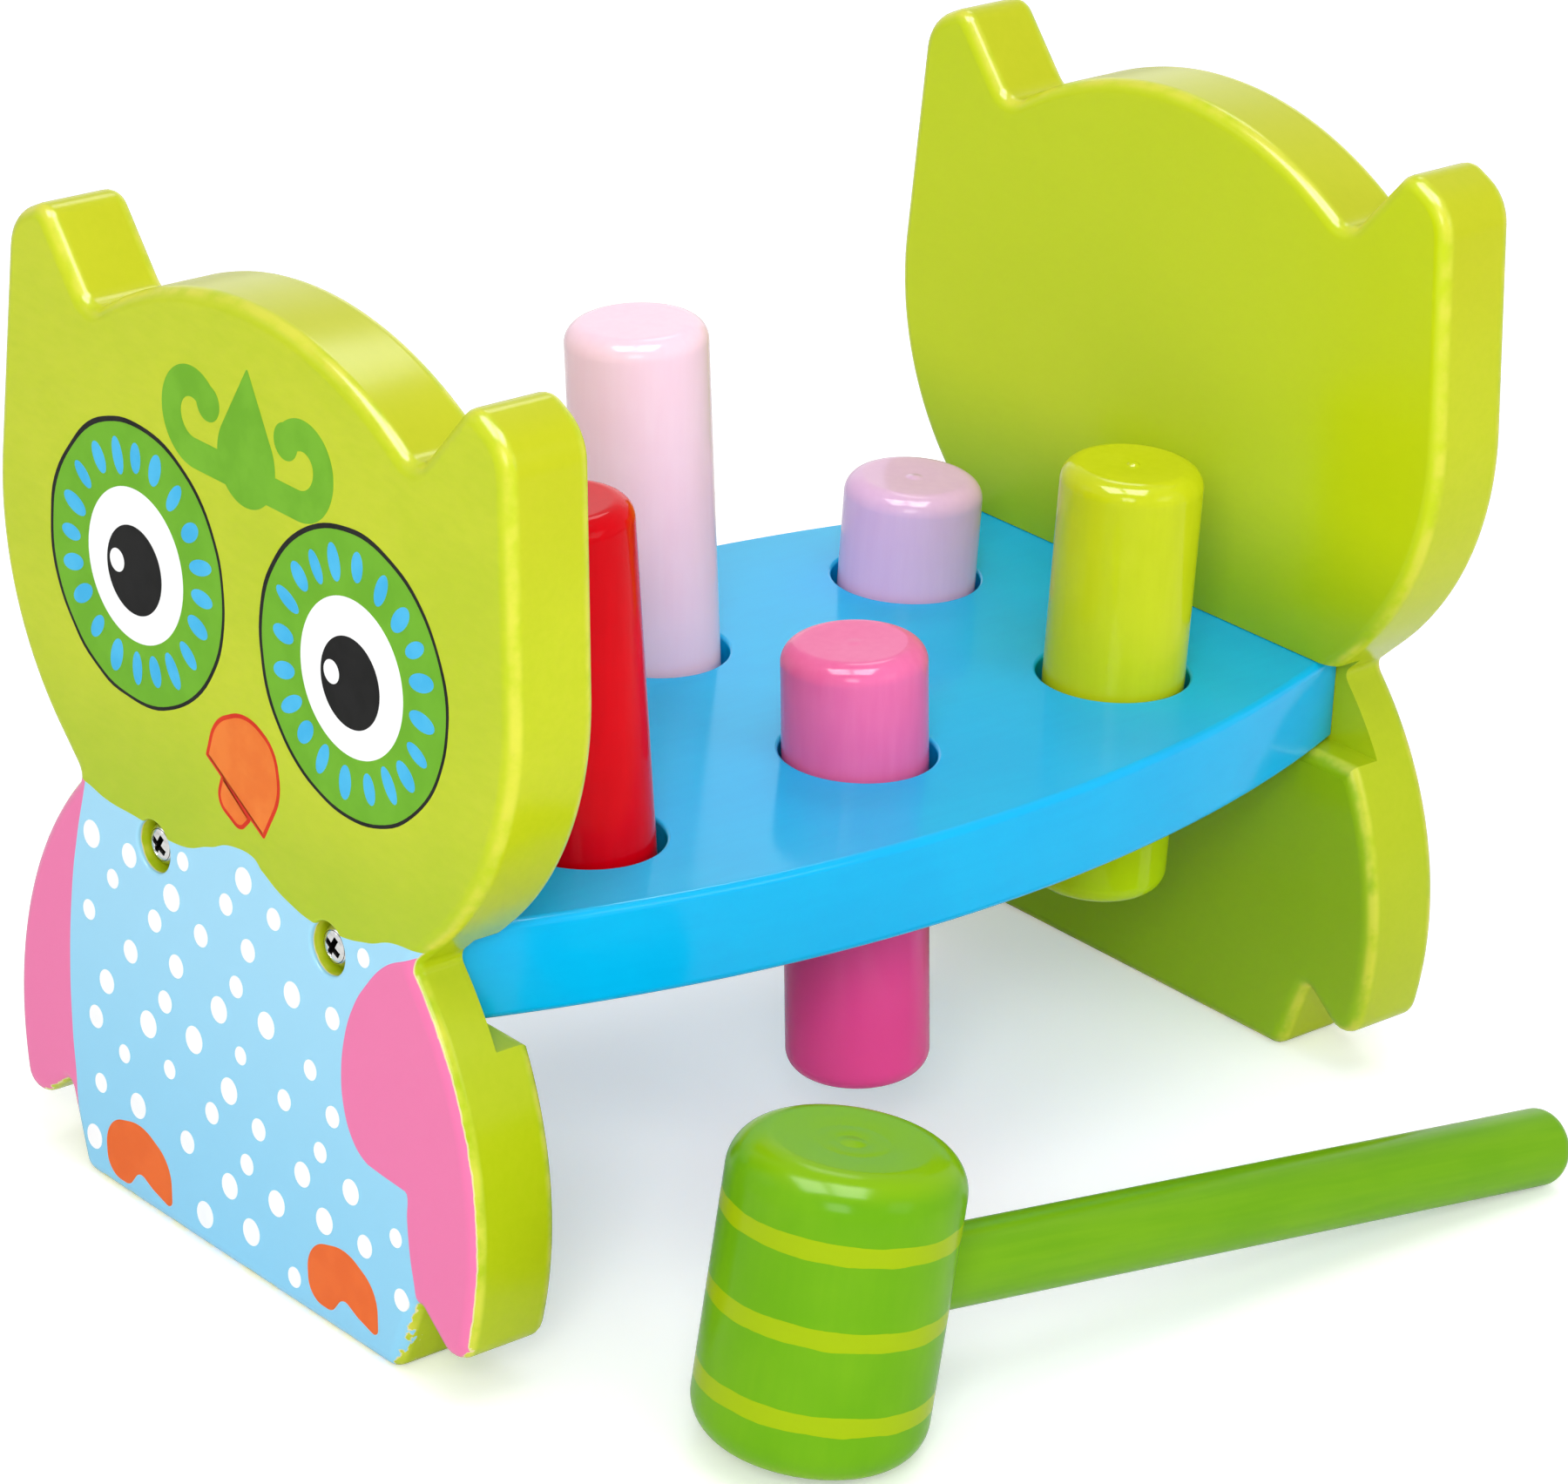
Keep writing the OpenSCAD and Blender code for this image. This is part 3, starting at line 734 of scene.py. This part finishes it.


# Printed face as thin films of paint, and the outlines of the belly and wings that the panels' paint reads

prints = {
    "film": 0.02, "root": 0.4,  # thickness of one coat, and how far a film is sunk in the board
    "step": 0.5, "wobbleEven": (0.5, 4),  # share and repeats of the smoothing after a wobble
    "eyes": ((-28.7, 116.5), (29.2, 117.0)), "eyeVerts": 96, "eyeSeed": 5,
    "eyeParts": {  # coat, radius, wobble, and shift from the eye's centre
        "line": (1, 24.45, 0.8, (0, 0)), "ring": (2, 23.7, 0.5, (0.1, -0.1)),
        "white": (3, 13.2, 0.0, (-0.1, -0.4)), "pupil": (4, 7.6, 0.0, (-0.4, -1.3)),
        "glint": (5, 2.0, 0.0, (-5.2, -1.0)),
    },
    "dashes": 20, "dashCoat": 3, "dashVerts": 24, "dashStart": 0.25,
    "dashTurn": (0, 0.1, 5.1), "dashWide": (1.45, 0.15, 3.7),  # mean, swing and pace round the eye
    "dashLong": (2.9, 0.3, 2.3), "dashAt": (18.2, 0.3, 1.9),
    "beak": [(-9.2, 89.9, 0.4), (6.8, 80.7, 0.5), (11.4, 89.6, 9), (9.6, 97.6, 7), (1.5, 101.4, 9),
             (-7.2, 97.0, 8)],
    "jaw": [(-4.8, 88.2, 0.4), (-6.4, 82.8, 3.2), (0.4, 79.6, 2.4), (3.4, 82.8, 0.6)],
    "beakLine": 0.75, "beakLift": 0.3, "beakStep": 0.4,
    "foot": [(-36.4, 2.6, 4), (-30.2, 2.6, 2.4), (-27.4, 6.4, 2), (-23.5, 4.6, 3), (-17.8, 3.0, 1.2),
             (-18.4, 11.5, 7), (-27, 15.6, 9), (-37.6, 12.6, 6)],
    "footStep": (57.0, 1.1),
    "motif": (1.0, 144.2), "drop": 8.3, "dropTall": 15.0, "dropTip": 0.3,
    "dropWaist": (0.9, 2, 9),  # share of the width, height and radius
    "stem": (13.7, 2.9), "stemFrom": 3,  # a stem starts at this part of the drop's half width
    "stemCoat": 1.2, "curl": (6.4, 5.4), "curlWide": 5.2, "curlSweep": 145,
    "curlBall": 3.1, "ballCoat": 1.4, "ballVerts": 40,
    "dotTries": 700, "dotGap": 7.3, "dotArea": (-43.0, 45.0, 4.5, 75.0), "dotVerts": 24,
    "dotSpread": (0.7548777, 0.5698403, 0.618034),  # even spread in x, z and size
    "dotSize": (1.55, 0.8), "dotWide": 1.08, "dotTurn": 1.2, "dotMargin": 1.0, "screwMargin": 1.2,
    "wingLook": (-1.5, 0, 1.5),  # heights at which a dot keeps off the wing, in dot sizes
    "footMid": (-26, 8), "footFlat": 1.5, "footMargin": 7,
    "bellyTop": [(-60, 74), (-43.1, 72.7), (-36.3, 71.6), (-27.6, 71.6), (-20.2, 70.8), (-8, 73.9),
                 (-1.4, 76.4), (2.7, 76.7), (6.3, 75), (13.4, 72.3), (20.4, 71.2), (27.3, 71.6),
                 (34.1, 73.1), (44.1, 76.1), (60, 76)],
    "bellySpan": ((-60, 60), (60, 80)),
    "leftWing": [(0, -45), (16, -45.9), (25.4, -47.1), (38.3, -47.8), (51.5, -47.2), (61.7, -45.7),
                 (72.6, -43.3), (80, -42)],
    "leftSpan": ((0, 80), (-50, -40)),
    "rightWing": [(0, 50), (15.3, 48.8), (23.1, 46.9), (29, 46), (33.6, 45.7), (34, 40.5), (34.5, 35.1),
                  (37.5, 31.1), (42.1, 28.9), (47.2, 28.1), (54.5, 28.8), (60.8, 31), (65.9, 34.3),
                  (70.7, 38.7), (74.1, 44.6), (80, 56)],
    "rightSpan": ((0, 80), (20, 60)),
}


def along(points, value):  # straight-line reading of a curve's points
    for (a, low), (b, high) in zip(points, points[1:]):
        if a <= value <= b:
            return low + (high - low) * (value - a) / (b - a)
    return points[0][1] if value < points[0][0] else points[-1][1]


def swing(key, number, phase):
    mean, size, pace = prints[key]
    return mean + size * sin(pace * number + phase)


def filmPen(coats):
    return Pen(origin=(0, faceY - prints["film"] * coats, 0))


def disc(coats, x, z, radius, verts, wide=1.0, turn=0.0, wobble=0.0, seed=0):
    # a filled circle on the painted face, stretched, turned or drawn unevenly
    spot = filmPen(coats).place((x, z))
    bpy.ops.mesh.select_all(action="DESELECT")
    bpy.ops.mesh.primitive_circle_add(vertices=verts, radius=radius * mm, fill_type="NGON",
                                      location=spot, rotation=(pi / 2, 0, 0))
    if wobble:
        factor, repeat = prints["wobbleEven"]
        bpy.ops.transform.vertex_random(offset=wobble * mm, seed=seed)
        bpy.ops.mesh.vertices_smooth(factor=factor, repeat=repeat)
        bpy.ops.transform.resize(value=(1, 0, 1), center_override=spot)
    if wide != 1:
        bpy.ops.transform.resize(value=(wide, 1, 1), center_override=spot)
        bpy.ops.transform.rotate(value=turn, orient_axis="Y", center_override=spot)


def closeFilm():  # roots the drawn faces in the board
    thicken((0, prints["root"], 0))
    tidySelection()


def eyeFilms():
    films = {}
    for part, (coats, radius, wobble, (dx, dz)) in prints["eyeParts"].items():
        films[part] = startPiece("eye_" + part)
        for side, (x, z) in enumerate(prints["eyes"]):
            disc(coats, x + dx, z + dz, radius, prints["eyeVerts"], wobble=wobble,
                 seed=prints["eyeSeed"] + side)
        closeFilm()
    films["dash"] = startPiece("eye_dash")
    for side, (x, z) in enumerate(prints["eyes"]):
        for i in range(prints["dashes"]):
            turns = (i + swing("dashTurn", i, side)) / prints["dashes"]
            angle = 2 * pi * turns + prints["dashStart"] * side
            wide, longer = swing("dashWide", i, side), swing("dashLong", i, 2 * side)
            reach = swing("dashAt", i, 0)
            disc(prints["dashCoat"], x + reach * cos(angle), z + reach * sin(angle), wide,
                 prints["dashVerts"], longer / wide, angle)
    closeFilm()
    return films


def beakFilms():
    films = {}
    for part, coats in (("beak_line", 1), ("beak_fill", 2)):
        films[part] = startPiece(part)
        for shape, lift in (("beak", prints["beakLift"]), ("jaw", 0)):
            filmPen(coats + lift).rounded(prints[shape], prints["beakStep"])
            if part == "beak_fill":  # leaves the line's width round the fill
                bpy.ops.mesh.select_mode(type="FACE")
                bpy.ops.mesh.inset(thickness=prints["beakLine"] * mm)
                bpy.ops.mesh.select_more()
                mesh = bmesh.from_edit_mesh(bpy.context.object.data)
                rim = [face for face in mesh.faces if face.select and len(face.verts) == 4]
                pick("FACE", lambda face: face in rim)
                bpy.ops.mesh.delete(type="FACE")
        closeFilm()
    return films


def feetFilm():
    film = startPiece("feet")
    for dx, dz in ((0, 0), prints["footStep"]):
        filmPen(1).rounded([(x + dx, z + dz, r) for x, z, r in prints["foot"]], prints["step"])
    closeFilm()
    return film


def motifFilm():
    # a drop between two scrolls on the forehead
    film = startPiece("motif")
    (x, z), drop, step = prints["motif"], prints["drop"], prints["step"]
    share, waist, bend = prints["dropWaist"]
    filmPen(1).rounded([
        (x - drop, z - drop, drop), (x + drop, z - drop, drop), (x + drop * share, z + waist, bend),
        (x, z + prints["dropTall"], prints["dropTip"]), (x - drop * share, z + waist, bend)], step)
    half, sweep = prints["curlWide"] / 2, radians(prints["curlSweep"])
    (reach, rise), (wide, narrow) = prints["stem"], prints["curl"]
    for side in (-1, 1):  # each stem leaves the drop, turns up and curls in to a ball
        outer = Vector((x + side * reach, z + rise))
        inner = outer + Vector((side * (wide - narrow), 0))
        root = x + side * drop / prints["stemFrom"]
        pen = filmPen(prints["stemCoat"])
        pen.start((root, outer.y - wide - half))
        pen.lines((outer.x, outer.y - wide - half))
        pen.arc(outer, side * pi / 2, step)
        pen.arc(inner, side * sweep, step)
        last = (pen.at - inner).normalized()
        pen.lines(inner + last * (narrow - half))
        pen.arc(inner, -side * sweep, step)
        pen.arc(outer, -side * pi / 2, step)
        pen.lines((root, outer.y - wide + half))
        pen.close()
        tip = inner + last * narrow
        disc(prints["ballCoat"], tip.x, tip.y, prints["curlBall"], prints["ballVerts"])
    closeFilm()
    return film


def dotFits(x, z, size):  # clear of the wings, the belly's top, the feet and the screws
    margin = size + prints["dotMargin"]
    (footX, footZ), (stepX, stepZ) = prints["footMid"], prints["footStep"]
    feet = ((footX, footZ), (footX + stepX, footZ + stepZ))
    screwOff = panel["bore"] / 2 + size + prints["screwMargin"]
    return (
        along(prints["leftWing"], z) + margin < x
        and all(x < along(prints["rightWing"], z + up * size) - margin for up in prints["wingLook"])
        and z < along(prints["bellyTop"], x) - margin
        and all(hypot((x - fx) / prints["footFlat"], z - fz) > prints["footMargin"] + size for fx, fz in feet)
        and hypot(abs(x) - panel["screwX"], z - panel["screwZ"]) > screwOff
    )


def dotsFilm():
    # polka dots spread by a fixed rule
    film = startPiece("dots")
    left, right, low, high = prints["dotArea"]
    paceX, paceZ, paceSize = prints["dotSpread"]
    least, more = prints["dotSize"]
    kept = []
    for n in range(prints["dotTries"]):
        x = left + (right - left) * ((0.5 + n * paceX) % 1)
        z = low + (high - low) * ((0.5 + n * paceZ) % 1)
        size = least + more * ((n * paceSize) % 1)
        if dotFits(x, z, size) and all(hypot(x - kx, z - kz) > prints["dotGap"] for kx, kz in kept):
            kept.append((x, z))
            disc(1, x, z, size, prints["dotVerts"], prints["dotWide"], prints["dotTurn"])
    closeFilm()
    print("dots:", len(kept))
    return film


films = {**eyeFilms(), **beakFilms(), "feet": feetFilm(), "motif": motifFilm(), "dots": dotsFilm()}
print("print modelled")


# Finish of the panels
# A look's grains: size in mm, detail, stretch, and shares in tone, roughness and relief

panelLook = {
    "sheen": 0.22, "light": (198, 210, 30), "deep": (186, 204, 18), "spread": (0.3, 0.7),
    "rough": 0.2, "depth": 0.008,
    "grains": ((30, 3.0, even, 0.65, 0.06, 0), (1.3, 4.0, (0.35, 1, 1), 0.35, 0, 0), (2.6, 0.0, even, 0, 0, 1)),
    # painted light: a lighter tone on the inner faces high up
    "inner": (204, 220, 14), "innerLightShare": 0.8, "innerEnd": (0.5, 2),
    # painted shade: a deeper green low down, most on the inner faces
    "low": (125, 175, 16), "lowShadeShare": 0.3, "lowShadeInner": 0.45, "lowShadeEnd": (72, 108),
    # a yellower tone on the side faces, with more of it high up as painted top light
    "side": (192, 190, 10), "sideShare": 0.25, "sideTopLight": 0.3, "sideEnd": (1.5, 3), "topLightEnd": (130, 160),
    # painted highlight: pale lines along the rounded edges
    "edgeHighlight": (232, 222, 84), "edgeHighlightShare": 0.55, "edgeHighlightSize": 5, "edgeHighlightSpread": (0.3, 0.65),
    "edgeFrom": (0.1, 0.9), "edgeTo": (1.5, 2.8),  # depths between which the rounded edge lies
    "tearSize": 2.2, "tear": 5.5, "tearLess": 5, "tearEnd": (6, 16), "tearLeast": 0.25,
    "printDepth": 0.8, "rimDepth": 1.0, "rim": (246, 222, 190), "rimShare": 0.6, "fine": 4.0,
    "bellyLow": (140, 208, 240), "bellyHigh": (160, 217, 245), "bellyTall": 75, "wing": (236, 118, 170),
}


def panelPaint(name, turn):
    # green lacquer all over, with the pink wings and blue belly printed on the outer face, painted light and shade
    # on the inner, low and side faces, and painted highlights along the rounded edges
    look = panelLook
    finish = coat(name, look, look["light"], look["deep"], (0, 0, 0), (0, 0, turn))
    x, y, z = finish.parts(finish.spot)
    depth, inward = y - faceY, innerY - y  # from the outer face and from the inner one
    # painted shade mask: 1 low down, 0 high up
    low = 1 - z.soft(*look["lowShadeEnd"])
    inner = 1 - inward.soft(*look["innerEnd"])
    side = depth.soft(*look["sideEnd"]) * inward.soft(*look["sideEnd"])
    rounding = sum(way.soft(*look["edgeFrom"]) * (1 - way.soft(*look["edgeTo"])) for way in (depth, inward))
    # patches of painted highlight for the rounded edges
    edgeHighlight = finish.noise(finish.spot, look["edgeHighlightSize"], look["fine"]).soft(*look["edgeHighlightSpread"])
    green = finish.colour
    for key, share in (
        # painted light: the inner faces lighter high up
        ("inner", inner * (1 - low) * look["innerLightShare"]),
        ("low", low * (inner * look["lowShadeInner"] + look["lowShadeShare"])),  # painted shade: deeper green where the light is low
        # the side faces' yellower tone, with painted top light high up
        ("side", side * (z.soft(*look["topLightEnd"]) * look["sideTopLight"] + look["sideShare"])),
        ("edgeHighlight", rounding * edgeHighlight * look["edgeHighlightShare"]),  # painted highlight along the rounded edges
    ):
        green = finish.mix(share, green, tint(*look[key]))
    wave = finish.noise(finish.spot, look["tearSize"], look["fine"]) - 0.5
    torn = 1 + wave * (look["tear"] - z.soft(*look["tearEnd"]) * look["tearLess"])  # ragged low down
    edge = depth * torn.either(look["tearLeast"])
    inPrint = edge < look["printDepth"]
    belly = z < finish.curve(prints["bellyTop"], x, *prints["bellySpan"])
    leftWing = x < finish.curve(prints["leftWing"], z, *prints["leftSpan"])
    rightWing = x > finish.curve(prints["rightWing"], z, *prints["rightSpan"])
    blue = finish.mix((z / look["bellyTall"]).soft(0, 1), tint(*look["bellyLow"]), tint(*look["bellyHigh"]))
    printed = finish.mix(leftWing.either(rightWing), blue, tint(*look["wing"]))
    shown = finish.mix(inPrint * belly, green, printed)
    rim = ((edge < look["rimDepth"]) - inPrint) * belly * look["rimShare"]  # pale undercoat round the print
    finish.feed(Base_Color=finish.mix(rim, shown, tint(*look["rim"])))
    return finish.material


for board, name, turn, node in ((frontBoard, "frontPaint", 0, "front_panel"),
                                (rearBoard, "rearPaint", pi, "rear_panel")):
    dress(board, panelPaint(name, turn), "bench", "panel_paint", node)


# Finish of the plate and the pegs, sprayed over wood

plateLook = {
    "sheen": 0.2, "light": (0, 184, 243), "deep": (0, 177, 239), "spread": (0.3, 0.7),
    "rough": 0.08, "depth": 0.008,
    "grains": ((26, 3.0, even, 0.7, 0.05, 0), (1.6, 4.0, (1, 0.1, 1), 0.3, 0.04, 0.2), (2.2, 0.0, even, 0, 0, 0.8)),
}
pegLook = {
    "sheen": 0.15, "redSheen": 0.08, "spread": (0.3, 0.7), "rough": 0.07, "depth": 0.008,
    "grains": ((26, 3.0, even, 0.7, 0.05, 0), (1.6, 4.0, (1, 1, 0.12), 0.3, 0.04, 0.2), (2.2, 0.0, even, 0, 0, 0.8)),
    "tones": {  # light and deep tone of each peg's paint
        "red": ((228, 0, 20), (216, 0, 16)), "pink": ((238, 114, 170), (232, 102, 160)),
        "lime": ((203, 212, 30), (193, 204, 18)), "orange": ((240, 128, 40), (226, 110, 26)),
        "blush": ((255, 219, 236), (252, 211, 230)), "lilac": ((232, 193, 226), (224, 182, 220)),
    },
    "under": {"pink": (233, 72, 147), "lime": (178, 211, 14)},  # painted shade: a deeper tone low down on these pegs
    "underShadeEnd": (30, 80),
}


def pegPaint(name):
    look = {**pegLook, "sheen": pegLook["redSheen"]} if name == "red" else pegLook
    finish = coat(name + "Paint", look, *look["tones"][name])
    # painted shade: pink and lime deeper low down
    if name in look["under"]:
        _, _, z = finish.parts(finish.spot)
        low = 1 - z.soft(*look["underShadeEnd"])
        finish.feed(Base_Color=finish.mix(low, finish.colour, tint(*look["under"][name])))
    return finish.material


platePaint = coat("platePaint", plateLook, plateLook["light"], plateLook["deep"]).material
dress(plateBoard, platePaint, "bench", "plate_paint", "bench_plate")
for name, dowel in dowels.items():
    dress(dowel, pegPaint(name), name + "_peg", name + "_paint", name + "_peg")


# Finish of the screws

screwLook = {
    # the near-black tone is painted shade deep in the cross slots
    "wear": 0.8, "fine": 4.0, "dark": (190, 190, 190), "bright": (236, 236, 234), "shadedSlot": (30, 28, 26),
    "slotDepth": 0.45, "rough": 0.14, "roughWear": 0.1, "roughSlot": 0.3, "depth": 0.01,
}


def steel():
    look = screwLook
    finish = Finish("screwSteel", Metallic=1.0)
    spot = finish.where()
    x, y, z = finish.parts(spot)
    wear = finish.noise(spot, look["wear"], look["fine"])
    across, above = abs(x) - panel["screwX"], z - panel["screwZ"]
    top = panel["length"] / 2 - panel["boreDepth"] + screw["headTall"]
    inHead = across * across + above * above < (screw["slotLong"] / 2) ** 2
    # painted shade: dark deep in the cross slots
    shadedSlot = inHead * (abs(y) < top - look["slotDepth"])
    bright = finish.mix(wear, tint(*look["dark"]), tint(*look["bright"]))
    finish.feed(Base_Color=finish.mix(shadedSlot, bright, tint(*look["shadedSlot"])),
                Roughness=look["rough"] + wear * look["roughWear"] + shadedSlot * look["roughSlot"])
    finish.bump(wear, look["depth"])
    return finish.material


screwSteel = steel()
for name, fastener in screws.items():
    dress(fastener, screwSteel, "bench", "screw_steel", name + "_screw")


# Finish of the mallet: green lacquer, thinner on the handle, where the wood's grain shows through

headLook = {
    "sheen": 0.08, "light": (115, 174, 22), "deep": (103, 166, 16), "spread": (0.3, 0.7),
    "rough": 0.13, "depth": 0.008,
    "grains": ((22, 3.0, even, 0.8, 0.06, 0), (1.5, 4.0, (1, 1, 0.15), 0.2, 0.04, 0.2), (2.4, 0.0, even, 0, 0, 0.8)),
    # painted light: paler end faces, like the lit top
    "end": (132, 182, 14), "litEndFrom": (22, 25.5), "stripe": (160, 186, 12),
    "uneven": 0.8, "unevenSize": 6, "unevenDetail": 2.0,
}
handleLook = {
    "sheen": 0.12, "light": (116, 171, 17), "deep": (105, 164, 11), "spread": (0.3, 0.7),
    "rough": 0.2, "depth": 0.004,
    "grains": ((18, 3.0, even, 0.4, 0, 0), (1.3, 5.0, (0.06, 1, 1), 0.6, 0.06, 1)),
}


def headPaint():
    # three stripes round the head, and end faces painted paler as top light
    look = headLook
    finish = coat("malletPaint", look, look["light"], look["deep"], malletSpot, malletTurn)
    _, _, high = finish.parts(finish.spot)
    uneven = (finish.noise(finish.spot, look["unevenSize"], look["unevenDetail"]) - 0.5) * look["uneven"]
    # painted light: the end faces paler
    green = finish.mix(abs(high).soft(*look["litEndFrom"]), finish.colour, tint(*look["end"]))
    bands = [abs(high - place) + uneven < mallet["stripe"] / 2 for place in mallet["stripes"]]
    striped = bands[0].either(bands[1]).either(bands[2])
    finish.feed(Base_Color=finish.mix(striped, green, tint(*look["stripe"])))
    return finish.material


dress(malletHead, headPaint(), "mallet", "mallet_paint", "mallet_head")
handlePaint = coat("stickPaint", handleLook, handleLook["light"], handleLook["deep"], malletSpot, malletTurn)
dress(malletStick, handlePaint.material, "mallet", "mallet_paint", "mallet_handle")


# Finish of the printed films, on both panels

filmLook = {
    "sheen": 0.08, "spread": (0.35, 0.65), "rough": 0.34, "depth": 0.006,
    "grains": ((7, 3.0, even, 1, 0.12, 0), (1.4, 2.0, even, 0, 0, 1)),
    "tones": {  # light and deep tone of each film
        "line": ((34, 34, 31), (22, 22, 20)), "ring": ((114, 180, 44), (108, 174, 38)),
        "white": ((255, 255, 255), (252, 252, 252)), "pupil": ((26, 26, 26), (18, 18, 18)),
        "glint": ((255, 255, 255), (252, 252, 252)), "dash": ((80, 190, 238), (66, 180, 232)),
        "beak_line": ((220, 56, 28), (210, 46, 22)), "beak_fill": ((240, 130, 54), (234, 118, 46)),
        "feet": ((237, 110, 46), (233, 105, 42)), "motif": ((120, 184, 46), (110, 174, 38)),
        "dots": ((255, 255, 255), (250, 251, 252)),
    },
}

for name, film in films.items():
    filmPaint = coat(name + "Paint", filmLook, *filmLook["tones"][name]).material
    twin = copyPiece(film, "rear_" + film.name, halfTurn)
    film.name = "front_" + film.name
    for piece in (film, twin):
        dress(piece, filmPaint, "bench", "panel_paint")


# Finish of the friction rings, which stay the frame's own nodes

ringLook = {
    "sheen": 0.3, "dust": 1.5, "fine": 4.0, "dark": (22, 22, 23), "pale": (46, 46, 47),
    "rough": 0.55, "roughDust": 0.2, "depth": 0.02,
}


def rubber():
    look = ringLook
    finish = Finish("ringRubber", Specular_IOR_Level=look["sheen"])
    dust = finish.noise(finish.where(), look["dust"], look["fine"])
    finish.feed(Base_Color=finish.mix(dust, tint(*look["dark"]), tint(*look["pale"])),
                Roughness=look["rough"] + dust * look["roughDust"])
    finish.bump(dust, look["depth"])
    return finish.material


ringRubber = rubber()
for name in pegs["each"]:
    cover(frame["nodes"][name + "_ring"], ringRubber)
print("finishes set")

tidySelection()
